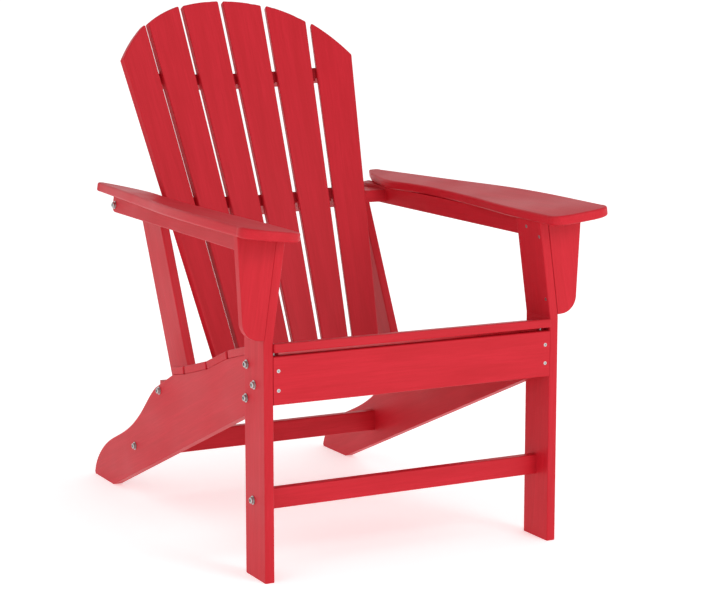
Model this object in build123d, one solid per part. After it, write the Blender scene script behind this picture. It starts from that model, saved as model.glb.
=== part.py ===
from build123d import *
import math
import os

# Adirondack chair in poly-lumber boards, bolted and screwed together, nothing folds.
# Millimetres. X across, Y to the rear, Z up.
# Drawn with Y = 0 on the front face of the legs, then shifted so the origin is under the middle.

os.makedirs("parts", exist_ok=True)

# Boards
FRAME_T = 17.5        # legs, side rails, brackets, arms, stretchers
SLAT_T = 15.0         # seat and back slats
EDGE = 2.5            # rounding on the long edges
HALF = 275.0          # inner face of each leg, from the middle plane
SIDE_IN = HALF - FRAME_T

# Front legs, bent inwards above the seat
LEG_DEPTH = 80.0
LEG_KINK_Z = 414.0
LEG_LEAN = 0.14

# Arms, square to the bent part of the legs: they rise to the outside and slightly to the rear
ARM_T = 17.5
ARM_X = 274.5         # a point of the underside at Y = 0
ARM_UNDER_Z = 589.6
ARM_TILT = math.degrees(math.atan(LEG_LEAN))
ARM_RISE = math.degrees(math.atan(0.0147))
RAIL_H = 36.5
RAIL_REAR = 708.0

# Seat: underside of the slats, as corners of a shallow hollow (Y, Z)
SEAT_LINE = [(-6.0, 397.2), (95.0, 379.3), (189.0, 355.0), (282.0, 320.4), (386.0, 293.4), (444.0, 282.2)]
SEAT_GAP = 6.0
APRON_Z0 = 306.5
APRON_Z1 = 389.5
STRETCHER_Y = 39.0
STRETCHER_Z0 = 117.5
STRETCHER_H = 36.0
REAR_BAR_Y = 640.0
REAR_BAR_Z = 104.0
REAR_BAR_H = 42.0

# Back: six flat slats laid round a cone, leaning back
LEAN = math.radians(26.26)
BACK_Y = 494.4        # back face of the slats on the middle plane, at BACK_Z
BACK_Z = 275.0
SLATS = 6
SLAT_TURN = 0.1115    # radians between neighbouring slats
SLAT_BOTTOM = -62.0
SLAT_SPAN = 825.0
W_LOW = 51.8
W_HIGH = 85.2
GAP_LOW = 10.4
GAP_HIGH = 11.4
TOP_MID = 771.0
TOP_SAG = 98.0        # the arch falls with the square of the distance from the middle
TOP_DROP = 58.0       # and more steeply, with the fourth power, at the sides

# Crossbars behind the back
BAR_T = 24.0
BAR_DEPTH = 24.0
BAR_LOW_V = -38.0
BAR_ARM_V = 338.0
BAR_TOP_V = 603.0
BAR_ARM_Z = 579.0
BAR_LOW_Z = 241.0

# Uprights beside the back
UPRIGHT_IN = 214.5
UPRIGHT_W = 96.0
UPRIGHT_REAR = 565.0  # rear edge at UPRIGHT_REF_Z
UPRIGHT_REF_Z = 290.0
UPRIGHT_Z0 = BAR_LOW_Z + BAR_T / 2
UPRIGHT_Z1 = BAR_ARM_Z - BAR_T / 2

# Fasteners
BOLT_D = 8.0
HEAD_D = 11.5
WASHER_D = 15.5
SCREW_D = 4.0
SCREW_HEAD = 6.5

Y_CENTRE = 400.5


def box(x0, x1, y0, y1, z0, z1):
    """A box from its two corners."""
    solid = Box(x1 - x0, y1 - y0, z1 - z0)
    return Pos((x0 + x1) / 2, (y0 + y1) / 2, (z0 + z1) / 2) * solid


def soften(solid, edges, radius=EDGE):
    """Round the given edges, with a smaller radius where the full one doesn't fit."""
    for r in (radius, radius * 0.6, radius * 0.3):
        try:
            rounded = fillet(edges, r)
            if rounded.is_valid:
                return rounded
        except Exception:
            pass
    return solid


def other_side(solid):
    return mirror(solid, about=Plane.YZ)


def one(shape):
    """The only solid of a result, taken out of its wrapper."""
    solids = shape.solids()
    return max(solids, key=lambda s: s.volume)


# Directions of the back
UP = Vector(0, math.sin(LEAN), math.cos(LEAN))
REAR = Vector(0, math.cos(LEAN), -math.sin(LEAN))


def slat_width(s):
    return W_LOW + (W_HIGH - W_LOW) * s / SLAT_SPAN


def slat_pitch(s):
    return slat_width(s) + GAP_LOW + (GAP_HIGH - GAP_LOW) * s / SLAT_SPAN


def slat_point(turn, s):
    """Middle of a slat's back face, at distance s up the back."""
    radius = slat_pitch(s) / SLAT_TURN
    across = Vector(math.sin(turn) * radius, 0, 0)
    forward = (1 - math.cos(turn)) * radius
    return Vector(0, BACK_Y, BACK_Z) + UP * s + across - REAR * forward


def slat_plane(index):
    """Plane on a slat's back face: x across, y up the slat, z to the front."""
    turn = (index - (SLATS - 1) / 2) * SLAT_TURN
    low = slat_point(turn, 0)
    along = (slat_point(turn, SLAT_SPAN) - low).normalized()
    across = Vector(math.cos(turn), 0, 0) - REAR * math.sin(turn)
    across = (across - along * across.dot(along)).normalized()
    return Plane(origin=low, x_dir=across, z_dir=across.cross(along))


def arch(index, edge):
    """Height of the arch at a slat's left edge (-1), middle (0) or right edge (1)."""
    s = TOP_MID
    for _ in range(12):
        across = (index - (SLATS - 1) / 2) * slat_pitch(s) + edge * slat_width(s) / 2
        s = TOP_MID - TOP_SAG * (across / HALF) ** 2 - TOP_DROP * (across / HALF) ** 4
    return s


def back_slat(index):
    """Tapered slat whose head follows the arch of the whole back."""
    left = arch(index, -1)
    right = arch(index, 1)
    low = slat_width(SLAT_BOTTOM) / 2
    corners = [(-low, SLAT_BOTTOM), (low, SLAT_BOTTOM), (slat_width(right) / 2, right)]
    outline = Polyline(*corners) + ThreePointArc(
        corners[2], (0, arch(index, 0)), (-slat_width(left) / 2, left)
    ) + Line((-slat_width(left) / 2, left), corners[0])
    face = make_face(outline)
    tips = face.vertices().sort_by(Axis.Y)[-2:]
    face = fillet(tips, 3.0)
    solid = extrude(face, SLAT_T)
    solid = soften(solid, solid.edges().filter_by(lambda e: abs(e.center().Z - SLAT_T / 2) > SLAT_T / 2 - 0.1))
    return slat_plane(index) * solid


def in_front(index):
    """All the room in front of one slat's back face, as wide as its share of the back."""
    wide = 60.0 if index in (0, SLATS - 1) else 47.0
    block = box(-wide, wide, -200, 900, 0, 400)
    return slat_plane(index) * block


def curved_bar(v, reach, end=13.0):
    """Crossbar that follows the back, one flat for each slat."""
    bar = None
    for index in range(SLATS):
        pitch = slat_pitch(v)
        end_in = end if index == 0 else -1.8
        end_out = end if index == SLATS - 1 else -1.8
        piece = box(-pitch / 2 + end_in, pitch / 2 - end_out, v - BAR_T / 2, v + BAR_T / 2, -reach, 0)
        piece = slat_plane(index) * piece
        bar = piece if bar is None else bar + piece
    for index in range(SLATS):
        bar = bar - slat_plane(index) * box(-40, 40, v - 80, v + 80, 0, 60)
    return bar


def arm_frame(shape):
    """Put a shape drawn on the right arm's underside into place."""
    return Pos(ARM_X, 0, ARM_UNDER_Z) * Rot(0, -ARM_TILT, 0) * Rot(ARM_RISE, 0, 0) * shape


ABOVE_ARM_LINE = arm_frame(box(-600, 600, -400, 1000, 0, 300))


# Front legs
def leg_x(z):
    return HALF if z <= LEG_KINK_Z else HALF - (z - LEG_KINK_Z) * LEG_LEAN


TOP = 640.0
leg_face = make_face(Plane.XZ * Polyline(
    (HALF, 0), (HALF + FRAME_T, 0), (HALF + FRAME_T, LEG_KINK_Z), (leg_x(TOP) + FRAME_T, TOP),
    (leg_x(TOP), TOP), (HALF, LEG_KINK_Z), close=True))
leg = extrude(leg_face, LEG_DEPTH, dir=(0, 1, 0))
leg = soften(leg, leg.edges().filter_by(lambda e: abs(e.center().Y - LEG_DEPTH / 2) > LEG_DEPTH / 2 - 0.1
                                         and 5 < e.center().Z < TOP - 5))
leg = leg - ABOVE_ARM_LINE

# Brackets under the arms, across the front of each leg
base = 418.0
bracket_outline = Plane.XZ * (
    Polyline((leg_x(TOP) + FRAME_T, TOP), (leg_x(base) + FRAME_T, base), (304, base + 1))
    + ThreePointArc((304, base + 1), (323, base + 11.5), (331, base + 33))
    + Polyline((331, base + 33), (341, TOP), (leg_x(TOP) + FRAME_T, TOP)))
bracket = extrude(make_face(bracket_outline), FRAME_T, dir=(0, 1, 0))
bracket = soften(bracket, bracket.edges().filter_by(
    lambda e: abs(e.center().Y - FRAME_T / 2) > FRAME_T / 2 - 0.1 and e.center().X > 296 and e.center().Z < TOP - 5), 2.0)
bracket = bracket - ABOVE_ARM_LINE

# Rails under the arms
RAIL_X = (leg_x(ARM_UNDER_Z) + FRAME_T - ARM_X) * math.cos(math.radians(ARM_TILT))
rail = box(RAIL_X, RAIL_X + FRAME_T, -60, RAIL_REAR, -RAIL_H, 0)
rail = fillet(rail.edges().filter_by(Axis.X).sort_by(lambda e: e.center().Y - e.center().Z * 0.01)[-1:], 14.0)
rail = soften(rail, rail.edges().filter_by(Axis.Y).sort_by(Axis.Z)[:2])
rail = arm_frame(rail) - box(200, 400, -200, FRAME_T, 300, 800)

# Arms: paddle boards, wide at the front
inner = [(8, 690), (-6, 635), (-14, 580), (-9, 500), (-5, 430), (-6, 370), (-10, 280), (-17, 195), (-24, 115),
         (-27, 40), (-28, -30)]
front = [(-22, -53), (-4, -64), (28, -69), (60, -70), (78, -62), (85, -38)]
outer = [(88, 50), (90, 120), (90, 190), (88, 250), (78, 360), (64, 490), (43, 705)]
rear = [(38, 726), (26, 731)]
arm_outline = (
    Spline(*inner) + Spline(inner[-1], *front) + Spline(front[-1], *outer[:-1]) + Line(outer[-2], outer[-1])
    + Spline(outer[-1], *rear) + Line(rear[-1], inner[0]))
arm = extrude(make_face(arm_outline), ARM_T)
arm = soften(arm, arm.edges().filter_by(lambda e: abs(e.center().Z - ARM_T / 2) > ARM_T / 2 - 0.1), 4.0)
arm = arm_frame(arm)


# Seat side rails: a nose behind the apron, a straight underside, and a flat foot at the rear
def under(y):
    return 12.7 + (733.0 - y) * 0.4135


def seat_z(y):
    for (ya, za), (yb, zb) in zip(SEAT_LINE, SEAT_LINE[1:]):
        if y <= yb:
            return za + (zb - za) * (y - ya) / (yb - ya)
    return SEAT_LINE[-1][1]


foot_y = 733.0 + 12.7 / 0.4135
top_line = [(FRAME_T, under(FRAME_T)), (FRAME_T, seat_z(FRAME_T))] + SEAT_LINE[1:]
rail_outline = Plane.YZ * (
    Polyline(*top_line, (530, 243))
    + Spline((530, 243), (542, 235), (602, 184.5), (645, 153), (701, 123), (744, 105), (788, 86),
             (838, 53), (862, 27), (872, 6))
    + Polyline((872, 6), (868, 0), (foot_y, 0), top_line[0]))
side_rail = Pos(SIDE_IN, 0, 0) * extrude(make_face(rail_outline), FRAME_T, dir=(1, 0, 0))
side_rail = soften(side_rail, side_rail.edges().filter_by(
    lambda e: abs(e.center().X - SIDE_IN - FRAME_T / 2) > FRAME_T / 2 - 0.1 and e.center().Y > 450 and e.center().Z > 10), 2.0)

# Uprights, standing on the lower crossbar and ending under the one at arm height
slope = math.tan(LEAN)
rear_low = UPRIGHT_REAR + (UPRIGHT_Z0 - UPRIGHT_REF_Z) * slope
rear_high = UPRIGHT_REAR + (UPRIGHT_Z1 - UPRIGHT_REF_Z) * slope
upright = extrude(make_face(Plane.YZ * Polyline(
    (rear_low, UPRIGHT_Z0), (rear_high, UPRIGHT_Z1), (rear_high - UPRIGHT_W, UPRIGHT_Z1),
    (rear_low - UPRIGHT_W, UPRIGHT_Z0), close=True)), FRAME_T, dir=(1, 0, 0))
upright = Pos(UPRIGHT_IN, 0, 0) * upright
upright = soften(upright, upright.edges().filter_by(lambda e: e.length > 300))

# Boards across the chair
apron = box(-HALF, HALF, 0, FRAME_T, APRON_Z0, APRON_Z1)
apron = soften(apron, apron.edges().filter_by(Axis.X))
front_stretcher = box(-HALF, HALF, STRETCHER_Y, STRETCHER_Y + FRAME_T, STRETCHER_Z0, STRETCHER_Z0 + STRETCHER_H)
front_stretcher = soften(front_stretcher, front_stretcher.edges().filter_by(Axis.X))
rear_stretcher = box(-SIDE_IN, SIDE_IN, REAR_BAR_Y - FRAME_T / 2, REAR_BAR_Y + FRAME_T / 2,
                     REAR_BAR_Z - REAR_BAR_H / 2, REAR_BAR_Z + REAR_BAR_H / 2)
rear_stretcher = soften(rear_stretcher, rear_stretcher.edges().filter_by(Axis.X))

seat_slats = []
seat_planes = []
for number in range(5):
    (ya, za), (yb, zb) = SEAT_LINE[number], SEAT_LINE[number + 1]
    length = math.hypot(yb - ya, zb - za)
    start = 0.0 if number == 0 else SEAT_GAP / 2
    along = Vector(0, yb - ya, zb - za).normalized()
    plane = Plane(origin=(0, ya, za), x_dir=(1, 0, 0), z_dir=Vector(1, 0, 0).cross(along))
    slat = box(-HALF, HALF, start, length - SEAT_GAP / 2, 0, SLAT_T)
    slat = soften(slat, slat.edges(), EDGE)
    slat = plane * slat
    seat_slats.append(slat)
    seat_planes.append((plane, length))

# Back
back_slats = [back_slat(index) for index in range(SLATS)]
upper_bar = curved_bar(BAR_TOP_V, BAR_DEPTH, 36.0)


def bar_end(x_out, x_in, y0, y1, z):
    return box(x_in, x_out, y0, y1, z - BAR_T / 2, z + BAR_T / 2)


arm_bar = curved_bar(BAR_ARM_V, 52.0, 28.0)
arm_end = bar_end(300.0, 196.0, rear_high - UPRIGHT_W, rear_high, BAR_ARM_Z)
arm_end = arm_end - arm_frame(box(RAIL_X, 200, -500, 1000, -300, 300))
low_bar = curved_bar(BAR_LOW_V, 46.0)
low_end = bar_end(SIDE_IN, 130.0, rear_low - UPRIGHT_W, rear_low, BAR_LOW_Z)
for index in range(SLATS):
    arm_end = arm_end - in_front(index)
    low_end = low_end - in_front(index)
arm_bar = arm_bar + arm_end + other_side(arm_end)
low_bar = low_bar + low_end + other_side(low_end)


# Fasteners, drawn along Z with the head's seat at Z = 0 and the shank going down
def bolt(length, hollow=True):
    shank = Pos(0, 0, -length / 2) * Cylinder(BOLT_D / 2, length)
    washer = Pos(0, 0, 0.75) * Cylinder(WASHER_D / 2, 1.5)
    head = Pos(0, 0, 1.5 + 2.25) * Cylinder(HEAD_D / 2, 4.5)
    head = fillet(head.edges().group_by(Axis.Z)[-1], 2.0)
    whole = shank + washer + head
    if hollow:
        whole = whole - Pos(0, 0, 3.5) * extrude(RegularPolygon(3.2, 6), 4)
    return whole


def nut():
    body = extrude(RegularPolygon(7.2, 6), 6.5) + Cylinder(WASHER_D / 2, 1.5, align=(Align.CENTER, Align.CENTER, Align.MIN))
    return body - Cylinder(BOLT_D / 2, 30)


def screw(length, hollow=True):
    head = Pos(0, 0, -1.25) * Cone(SCREW_D / 2, SCREW_HEAD / 2, 2.5)
    shank = Pos(0, 0, -length / 2) * Cylinder(SCREW_D / 2, length)
    whole = head + shank
    if hollow:
        whole = whole - Pos(0, 0, -1.4) * extrude(RegularPolygon(1.7, 4), 2)
    return whole


def facing(point, direction, turn=0.0):
    """Location whose Z points along the direction."""
    return Plane(origin=point, z_dir=direction).location * Rot(0, 0, turn)


groups = {}
holes = []


def fix_at(name, make, length, place, mirrored=True):
    solid = place * make(length, True)
    plain = place * make(length, False)
    groups.setdefault(name, []).append(solid)
    holes.append(plain)
    if mirrored:
        groups[name].append(other_side(solid))
        holes.append(other_side(plain))


def fix(name, make, length, point, direction, mirrored=True, turn=0.0):
    fix_at(name, make, length, facing(point, direction, turn), mirrored)


OUT = HALF + FRAME_T
for number, (y, z) in enumerate(((68.5, 368.0), (39.3, 337.4), (72.0, 309.0))):
    fix("leg_bolts", bolt, 2 * FRAME_T + 8.0, (OUT, y, z), (1, 0, 0), turn=17 * number)
    nut_solid = facing((SIDE_IN, y, z), (-1, 0, 0), 11 * number) * nut()
    groups.setdefault("leg_nuts", []).append(nut_solid)
    groups["leg_nuts"].append(other_side(nut_solid))
fix("front_stretcher_bolts", bolt, 55.0, (OUT, STRETCHER_Y + FRAME_T / 2, 135.5), (1, 0, 0), turn=9)
fix("rear_stretcher_bolts", bolt, 55.0, (HALF, REAR_BAR_Y, 106.0), (1, 0, 0), turn=21)
fix("lower_crossbar_bolts", bolt, 60.0, (HALF, 508.5, BAR_LOW_Z), (1, 0, 0), turn=5)
fix_at("arm_crossbar_bolts", bolt, 60.0, arm_frame(Pos(RAIL_X + FRAME_T, RAIL_REAR - 14.0, -22.5) * Rot(0, 90, 0)))
for z in (APRON_Z0 + 25.0, APRON_Z0 + 58.5):
    fix("apron_screws", screw, 32.0, (265.5, 0, z), (0, -1, 0), turn=z)
for z in (446.0, 560.0):
    direction = Vector(-1, 0, -LEG_LEAN).normalized()
    fix("bracket_screws", screw, 38.0, (leg_x(z), FRAME_T / 2, z), direction, turn=z)
fix("rail_screws", screw, 30.0, (leg_x(575.0), 48.0, 575.0), Vector(-1, 0, -LEG_LEAN).normalized())
for y in (140.0, 370.0, 600.0):
    under_rail = arm_frame(Pos(RAIL_X + FRAME_T / 2, y, -RAIL_H) * Rot(180, 0, 0))
    fix_at("arm_screws", screw, RAIL_H + 12.0, under_rail)
for y in (rear_low - 66.0, rear_low - 28.0):
    fix("upright_screws", screw, 48.0, (UPRIGHT_IN + FRAME_T / 2, y, BAR_LOW_Z - BAR_T / 2), (0, 0, -1))
for y in (rear_high - 66.0, rear_high - 28.0):
    fix("upright_screws", screw, 48.0, (UPRIGHT_IN + FRAME_T / 2, y, BAR_ARM_Z + BAR_T / 2), (0, 0, 1))
for number, (plane, length) in enumerate(seat_planes):
    spots = (length / 2,) if number == 4 else (length * 0.25, length * 0.6)
    for v in spots:
        point = plane.from_local_coords(Vector(266.0, v, SLAT_T))
        fix("seat_slat_screws", screw, 30.0, point, plane.z_dir, turn=v)
for index in range(SLATS):
    plane = slat_plane(index)
    for v, depth in ((BAR_LOW_V, 46.0), (BAR_ARM_V, 52.0), (BAR_TOP_V, BAR_DEPTH)):
        point = plane.from_local_coords(Vector(0, v, -depth))
        fix("back_slat_screws", screw, depth + 10.0, point, plane.z_dir * -1, mirrored=False, turn=v)

boards = {
    "front_leg_right": leg, "front_leg_left": other_side(leg),
    "arm_bracket_right": bracket, "arm_bracket_left": other_side(bracket),
    "arm_rail_right": rail, "arm_rail_left": other_side(rail),
    "arm_right": arm, "arm_left": other_side(arm),
    "seat_side_rail_right": side_rail, "seat_side_rail_left": other_side(side_rail),
    "rear_upright_right": upright, "rear_upright_left": other_side(upright),
    "front_apron": apron, "front_stretcher": front_stretcher, "rear_stretcher": rear_stretcher,
    "back_crossbar_upper": upper_bar, "back_crossbar_arm": arm_bar, "back_crossbar_lower": low_bar,
}
for number, slat in enumerate(seat_slats):
    boards[f"seat_slat_{number + 1}"] = slat
for number, slat in enumerate(back_slats):
    boards[f"back_slat_{number + 1}"] = slat

shift = Pos(0, -Y_CENTRE, 0)
for name, board in boards.items():
    reach = board.bounding_box()
    for hole in holes:
        spot = hole.bounding_box()
        apart = (spot.min.X > reach.max.X or spot.max.X < reach.min.X or spot.min.Y > reach.max.Y
                 or spot.max.Y < reach.min.Y or spot.min.Z > reach.max.Z or spot.max.Z < reach.min.Z)
        if not apart:
            board = board - hole
    solid = shift * one(board)
    solid.label = name
    export_step(solid, f"parts/{name}.step")
for name, solids in groups.items():
    group = Compound(label=name, children=[shift * one(solid) for solid in solids])
    export_step(group, f"parts/{name}.step")
print(len(boards) + len(groups), "nodes")
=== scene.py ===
import bpy
import math
import numpy as np
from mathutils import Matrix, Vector

# Adirondack chair in red plastic lumber on a white studio floor. Every visible piece is a CAD node.
# This script gives the nodes their materials and sets up the floor, the light and the camera.

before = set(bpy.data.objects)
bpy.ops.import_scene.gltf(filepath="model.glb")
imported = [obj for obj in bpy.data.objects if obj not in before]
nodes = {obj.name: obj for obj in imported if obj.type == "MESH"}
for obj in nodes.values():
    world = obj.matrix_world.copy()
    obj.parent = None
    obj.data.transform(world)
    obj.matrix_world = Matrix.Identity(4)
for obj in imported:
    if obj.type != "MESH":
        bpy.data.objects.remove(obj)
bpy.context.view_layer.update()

# Lumber
RED = (0.555, 0.013, 0.026, 1.0)
RED_DARK = (0.480, 0.009, 0.018, 1.0)
LUMBER_SHEEN = 0.20
LUMBER_ROUGHNESS = (0.40, 0.52)
GRAIN_STRETCH = (5.0, 110.0, 110.0)
WAVE_STRETCH = (2.2, 26.0, 26.0)
GRAIN_DEPTH = 0.0012
PORE_DEPTH = 0.0003
SHIFT_PER_BOARD = (0.37, 0.11)

# Fastener steel
STEEL_NODES = ("bolts", "nuts", "screws")
STEEL_DARK = (0.36, 0.37, 0.37, 1)
STEEL_LIGHT = (0.58, 0.59, 0.58, 1)
STEEL_ROUGHNESS = (0.22, 0.40)
STEEL_MARK_DEPTH = 0.0002

# Studio
WHITE = (1.0, 1.0, 1.0, 1)
FLOOR_COLOUR = (0.97, 0.97, 0.97, 1)
FLOOR_ROUGHNESS = (0.86, 0.92)
FLOOR_SIZE = 60.0
FLOOR_GLOW = 0.42
ROOM_LIGHT_LOW = 1.10
ROOM_LIGHT_HIGH = 0.55
MIDDLE = (0.0, 0.0, 0.45)

# Camera, turned about the vertical and then tipped down
CAMERA_PLACE = (-1.6575, -3.3187, 0.9937)
YAW = 27.913
PITCH = 8.823
LENS = 98.317
SENSOR = 36.0

# The band of a noise texture's values that carries most of its pattern
NOISE_LOW = 0.3
NOISE_HIGH = 0.7


def long_axis(obj):
    """The direction in which a board is longest, from its own vertices."""
    points = np.empty(len(obj.data.vertices) * 3, np.float32)
    obj.data.vertices.foreach_get("co", points)
    points = points.reshape(-1, 3)
    points = points - (points.min(0) + points.max(0)) / 2
    axis = Vector(np.linalg.svd(points, full_matrices=False)[2][0].tolist()).normalized()
    return axis if max(axis, key=abs) > 0 else -axis


class Graph:
    """Short calls for adding and joining shader nodes."""

    def __init__(self, name):
        self.material = bpy.data.materials.new(name)
        self.material.use_nodes = True
        self.tree = self.material.node_tree
        self.shader = self.tree.nodes["Principled BSDF"]

    def add(self, kind, inputs=None, **settings):
        """Add a node. An input is either a value or the output socket that feeds it."""
        node = self.tree.nodes.new(kind)
        for key, value in settings.items():
            setattr(node, key, value)
        for key, value in (inputs or {}).items():
            if isinstance(value, bpy.types.NodeSocket):
                self.tree.links.new(value, node.inputs[key])
            else:
                node.inputs[key].default_value = value
        return node

    def noise(self, place, scale, detail, **more):
        """The grey value of a noise texture at the given place."""
        inputs = {"Vector": place, "Scale": scale, "Detail": detail}
        inputs.update(more)
        return self.add("ShaderNodeTexNoise", inputs).outputs["Fac"]

    def stretch(self, place, scale):
        return self.add("ShaderNodeMapping", {"Vector": place, "Scale": scale}).outputs["Vector"]

    def bump(self, height, strength, depth, under=None):
        """A bump's normal, laid over another one where it is given."""
        inputs = {"Height": height, "Strength": strength, "Distance": depth}
        if under is not None:
            inputs["Normal"] = under
        return self.add("ShaderNodeBump", inputs).outputs["Normal"]

    def ramp(self, source, low, high, dark, light):
        node = self.add("ShaderNodeMapRange", {"Value": source, "From Min": low, "From Max": high,
                                               "To Min": dark, "To Max": light})
        return node.outputs["Result"]

    def feed(self, socket, name):
        self.tree.links.new(socket, self.shader.inputs[name])

    def set(self, name, value):
        self.shader.inputs[name].default_value = value


def lumber(name, axis, seed):
    """Moulded plastic board: embossed grain along its length, faint mottling, satin sheen."""
    g = Graph(name)
    turn = Vector((1, 0, 0)).rotation_difference(axis).inverted().to_euler()
    shift = (seed * SHIFT_PER_BOARD[0], seed * SHIFT_PER_BOARD[1], 0)
    place = g.add("ShaderNodeTexCoord").outputs["Object"]
    mapping = g.add("ShaderNodeMapping", {"Vector": place, "Rotation": turn, "Location": shift})
    turned = mapping.outputs["Vector"]
    fine = g.noise(g.stretch(turned, GRAIN_STRETCH), 3.2, 5.0, Roughness=0.62)
    broad = g.noise(g.stretch(turned, WAVE_STRETCH), 2.0, 3.0, Distortion=0.6)
    pores = g.noise(turned, 900.0, 2.0)
    cloud = g.noise(turned, 7.0, 2.0)

    streak = g.add("ShaderNodeMath", {0: fine, 1: broad}, operation="MULTIPLY").outputs[0]
    tone = g.ramp(streak, 0.12, 0.40, 0.0, 1.0)
    colour = g.add("ShaderNodeMixRGB", {"Fac": tone, "Color1": RED_DARK, "Color2": RED})
    g.feed(colour.outputs["Color"], "Base Color")
    g.feed(g.ramp(cloud, NOISE_LOW, NOISE_HIGH, *LUMBER_ROUGHNESS), "Roughness")
    grain = g.bump(streak, 0.32, GRAIN_DEPTH)
    g.feed(g.bump(pores, 0.10, PORE_DEPTH, under=grain), "Normal")
    g.set("Specular IOR Level", LUMBER_SHEEN)
    return g.material


def steel():
    """Plain fastener steel with turning marks and slight dulling."""
    g = Graph("fastener_steel")
    place = g.add("ShaderNodeTexCoord").outputs["Object"]
    marks = g.noise(place, 700.0, 3.0)
    dull = g.noise(place, 90.0, 2.0)
    shade = g.add("ShaderNodeValToRGB", {"Fac": dull})
    shade.color_ramp.elements[0].color = STEEL_DARK
    shade.color_ramp.elements[1].color = STEEL_LIGHT
    g.feed(shade.outputs["Color"], "Base Color")
    g.feed(g.ramp(marks, NOISE_LOW, NOISE_HIGH, *STEEL_ROUGHNESS), "Roughness")
    g.feed(g.bump(marks, 0.15, STEEL_MARK_DEPTH), "Normal")
    g.set("Metallic", 1.0)
    return g.material


def pale_floor():
    """White matt floor that glows a little, so that it meets the white room without an edge."""
    g = Graph("pale_floor")
    speckle = g.add("ShaderNodeTexNoise", {"Scale": 60.0, "Detail": 2.0}).outputs["Fac"]
    g.feed(g.ramp(speckle, NOISE_LOW, NOISE_HIGH, *FLOOR_ROUGHNESS), "Roughness")
    g.set("Base Color", FLOOR_COLOUR)
    g.set("Specular IOR Level", 0.1)
    g.set("Emission Color", WHITE)
    g.set("Emission Strength", FLOOR_GLOW)
    return g.material


def white_room():
    """A white world, brighter near the horizon than overhead."""
    world = bpy.data.worlds.new("room")
    bpy.context.scene.world = world
    world.use_nodes = True
    tree = world.node_tree
    background = tree.nodes["Background"]
    background.inputs["Color"].default_value = WHITE
    direction = tree.nodes.new("ShaderNodeTexCoord").outputs["Generated"]
    height = tree.nodes.new("ShaderNodeSeparateXYZ")
    tree.links.new(direction, height.inputs["Vector"])
    dimmer = tree.nodes.new("ShaderNodeMapRange")
    tree.links.new(height.outputs["Z"], dimmer.inputs["Value"])
    limits = (("From Min", 0.1), ("From Max", 0.9), ("To Min", ROOM_LIGHT_LOW), ("To Max", ROOM_LIGHT_HIGH))
    for key, value in limits:
        dimmer.inputs[key].default_value = value
    tree.links.new(dimmer.outputs["Result"], background.inputs["Strength"])


def area_light(name, place, target, size, power):
    """A round lamp turned towards its target."""
    data = bpy.data.lights.new(name, "AREA")
    data.shape = "DISK"
    data.size = size
    data.energy = power
    lamp = bpy.data.objects.new(name, data)
    lamp.location = place
    lamp.rotation_euler = (Vector(target) - Vector(place)).to_track_quat("-Z", "Y").to_euler()
    bpy.context.scene.collection.objects.link(lamp)


# Materials on the CAD nodes
metal = steel()
for seed, (name, obj) in enumerate(sorted(nodes.items())):
    obj.data.materials.clear()
    if name.endswith(STEEL_NODES):
        obj.data.materials.append(metal)
    else:
        obj.data.materials.append(lumber("red_lumber_" + name, long_axis(obj), seed))

# Floor
bpy.ops.mesh.primitive_plane_add(size=FLOOR_SIZE, location=(0, 0, 0))
floor = bpy.context.object
floor.name = "floor"
floor.data.materials.append(pale_floor())

# Light: the room, a broad key lamp from the front right, and a soft fill from the left
white_room()
area_light("key", (1.2, -3.6, 2.4), MIDDLE, 1.6, 40.0)
area_light("fill", (-3.4, -1.4, 1.4), MIDDLE, 2.0, 10.0)

# Camera
camera_data = bpy.data.cameras.new("camera")
camera_data.sensor_width = SENSOR
camera_data.lens = LENS
camera = bpy.data.objects.new("camera", camera_data)
camera.location = CAMERA_PLACE
camera.rotation_euler = (math.radians(90.0 - PITCH), 0.0, math.radians(-YAW))
bpy.context.scene.collection.objects.link(camera)
bpy.context.scene.camera = camera

bpy.context.scene.view_settings.view_transform = "Standard"
